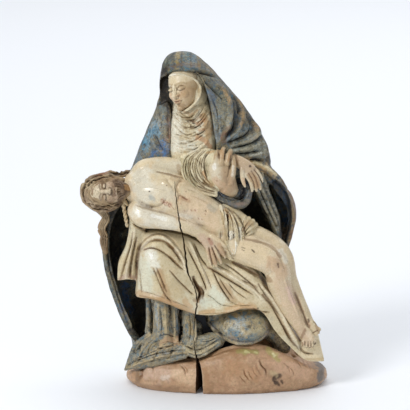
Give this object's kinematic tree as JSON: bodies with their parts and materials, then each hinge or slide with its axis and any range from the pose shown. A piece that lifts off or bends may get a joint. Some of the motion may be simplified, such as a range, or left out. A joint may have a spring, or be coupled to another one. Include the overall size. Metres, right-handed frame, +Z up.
{
  "type": "wooden sculpture group",
  "caption": "Carved and painted wooden group: a hooded mother kneels on a rocky base with her dead son lying across her lap, over a draped cloth.",
  "frame": {"origin": "the middle of the flat underside, on the floor", "axes": "+Z up, the group's height; +X to the right of someone who faces the front, towards the son's feet; +Y away from them, into the flat back"},
  "size_m": [0.4404, 0.1789, 0.5992],
  "materials": {
    "painted_wood": "old gesso and oil paint, worn and stained: cream cloth and flesh, blue mantle with gilt patterning, terracotta base"
  },
  "bodies": {
    "root": {"carved_group": "painted_wood"}
  },
  "joints": []
}
